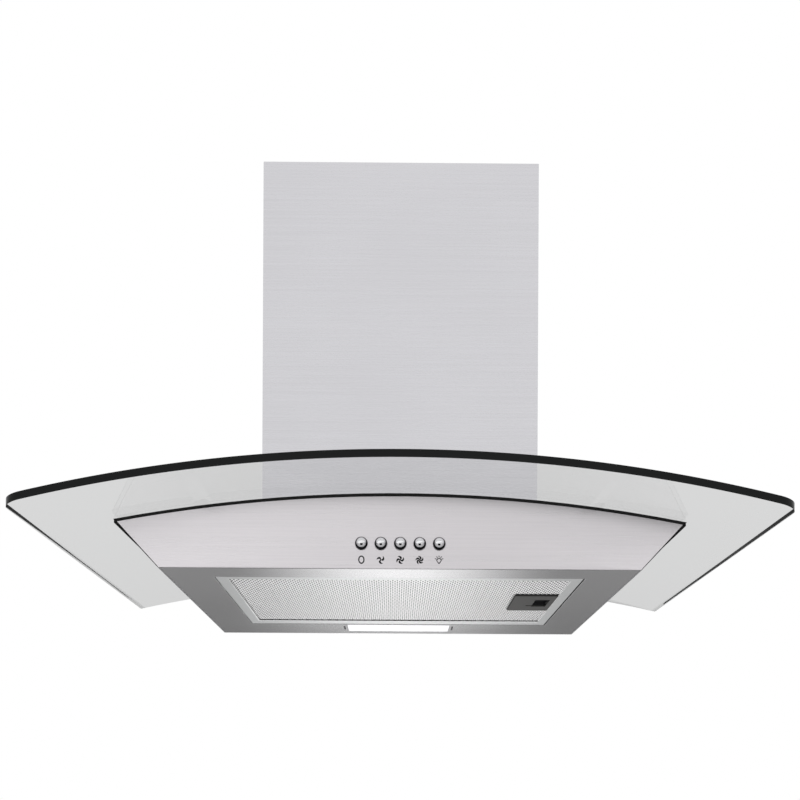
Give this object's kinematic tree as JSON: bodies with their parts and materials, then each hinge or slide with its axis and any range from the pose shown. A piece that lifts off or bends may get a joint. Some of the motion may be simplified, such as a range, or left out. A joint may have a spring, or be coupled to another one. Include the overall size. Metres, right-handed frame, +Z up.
{
  "type": "range hood",
  "caption": "Wall-mounted range hood with an arched glass canopy, a flared steel body with push buttons and a grease filter, and a telescopic chimney over its blower.",
  "frame": {"origin": "on the wall plane, in the middle of the hood's width, level with the underside of the body", "axes": "+Z up, +X to the right as seen from the front, +Y into the wall, so the hood stands out along -Y"},
  "size_m": [0.6, 0.4766, 0.4088],
  "materials": {
    "brushed_steel": "fine horizontal brushing",
    "galvanised_steel": "zinc coated",
    "glass": "clear, polished edges",
    "rubber": "smooth black",
    "chrome": "polished",
    "screw_steel": "zinc plated",
    "black_plastic": "fine moulded grain",
    "grey_plastic": "moulded",
    "motor_paint": "black paint",
    "filter_aluminium": "natural, lightly brushed",
    "lamp_white": "opal white",
    "white_steel": "white powder coat"
  },
  "bodies": {
    "hood": {"underside_panel": "brushed_steel", "side_panel_left": "brushed_steel", "side_panel_right": "brushed_steel", "rear_panel": "brushed_steel", "top_plate": "galvanised_steel", "fascia": "brushed_steel", "glass_gasket": "rubber", "glass_canopy": "glass", "glass_grommets": "rubber", "glass_screws": "chrome", "motor_housing": "galvanised_steel", "hook_plate": "galvanised_steel", "housing_screws": "screw_steel", "scroll_half_left": "black_plastic", "scroll_half_right": "black_plastic", "scroll_screws": "screw_steel", "motor": "motor_paint", "motor_bracket": "galvanised_steel", "bracket_screws": "screw_steel", "motor_screws": "screw_steel", "inlet_guard": "black_plastic", "guard_screws": "screw_steel", "capacitor": "grey_plastic", "capacitor_clip": "galvanised_steel", "wiring_box": "black_plastic", "wiring_lid": "black_plastic", "cable_gland": "black_plastic", "gland_nut": "black_plastic", "duct_collar": "black_plastic", "collar_screws": "screw_steel", "flap_pins": "galvanised_steel", "lower_chimney": "brushed_steel", "chimney_stay_left": "galvanised_steel", "chimney_stay_right": "galvanised_steel", "chimney_screws": "screw_steel", "lamp_housing": "white_steel", "led_board": "lamp_white", "lamp_lens": "lamp_white", "lamp_catches": "black_plastic", "switch_bank": "black_plastic", "switch_shelf": "galvanised_steel", "switch_screws": "screw_steel"},
    "filter": {"filter_frame": "filter_aluminium", "filter_mesh_lower": "filter_aluminium", "filter_core": "filter_aluminium", "filter_mesh_upper": "filter_aluminium", "latch_pan": "black_plastic"},
    "latch": {"filter_latch": "black_plastic"},
    "fan": {"impeller": "grey_plastic", "motor_shaft": "screw_steel"},
    "front_flap": {"flap_front": "black_plastic"},
    "rear_flap": {"flap_rear": "black_plastic"},
    "upper_chimney": {"upper_chimney": "brushed_steel", "chimney_wall_bracket": "galvanised_steel", "upper_screws": "screw_steel"},
    "button_off": {"button_off": "chrome"},
    "button_low": {"button_low": "chrome"},
    "button_medium": {"button_medium": "chrome"},
    "button_high": {"button_high": "chrome"},
    "button_lamp": {"button_lamp": "chrome"}
  },
  "joints": [
    {"name": "button_off_press", "type": "slide", "parent": "hood", "child": "button_off", "axis": [0, 0.9869, 0.1612], "range_m": [0, 0.003], "stiffness_N_per_m": 600, "springref_m": -0.004},
    {"name": "button_low_press", "type": "slide", "parent": "hood", "child": "button_low", "axis": [0, 0.9869, 0.1612], "range_m": [0, 0.003], "stiffness_N_per_m": 600, "springref_m": -0.004},
    {"name": "button_medium_press", "type": "slide", "parent": "hood", "child": "button_medium", "axis": [0, 0.9869, 0.1612], "range_m": [0, 0.003], "stiffness_N_per_m": 600, "springref_m": -0.004},
    {"name": "button_high_press", "type": "slide", "parent": "hood", "child": "button_high", "axis": [0, 0.9869, 0.1612], "range_m": [0, 0.003], "stiffness_N_per_m": 600, "springref_m": -0.004},
    {"name": "button_lamp_press", "type": "slide", "parent": "hood", "child": "button_lamp", "axis": [0, 0.9869, 0.1612], "range_m": [0, 0.003], "stiffness_N_per_m": 600, "springref_m": -0.004},
    {"name": "filter_hinge", "type": "hinge", "parent": "hood", "child": "filter", "pos_m": [-0.16, -0.1985, 0.0019], "axis": [0, 1, 0], "range_deg": [0, 70]},
    {"name": "latch_slide", "type": "slide", "parent": "filter", "child": "latch", "axis": [-1, 0, 0], "range_m": [0, 0.006], "stiffness_N_per_m": 300, "springref_m": -0.006},
    {"name": "fan_spin", "type": "hinge", "parent": "hood", "child": "fan", "pos_m": [0, -0.0795, 0.15], "axis": [1, 0, 0], "continuous": true},
    {"name": "front_flap_hinge", "type": "hinge", "parent": "hood", "child": "front_flap", "pos_m": [0, -0.129, 0.3047], "axis": [-1, 0, 0], "range_deg": [0, 80]},
    {"name": "rear_flap_hinge", "type": "hinge", "parent": "hood", "child": "rear_flap", "pos_m": [0, -0.121, 0.3047], "axis": [1, 0, 0], "range_deg": [0, 80]},
    {"name": "chimney_slide", "type": "slide", "parent": "hood", "child": "upper_chimney", "axis": [0, 0, 1], "range_m": [0, 0.25]}
  ]
}
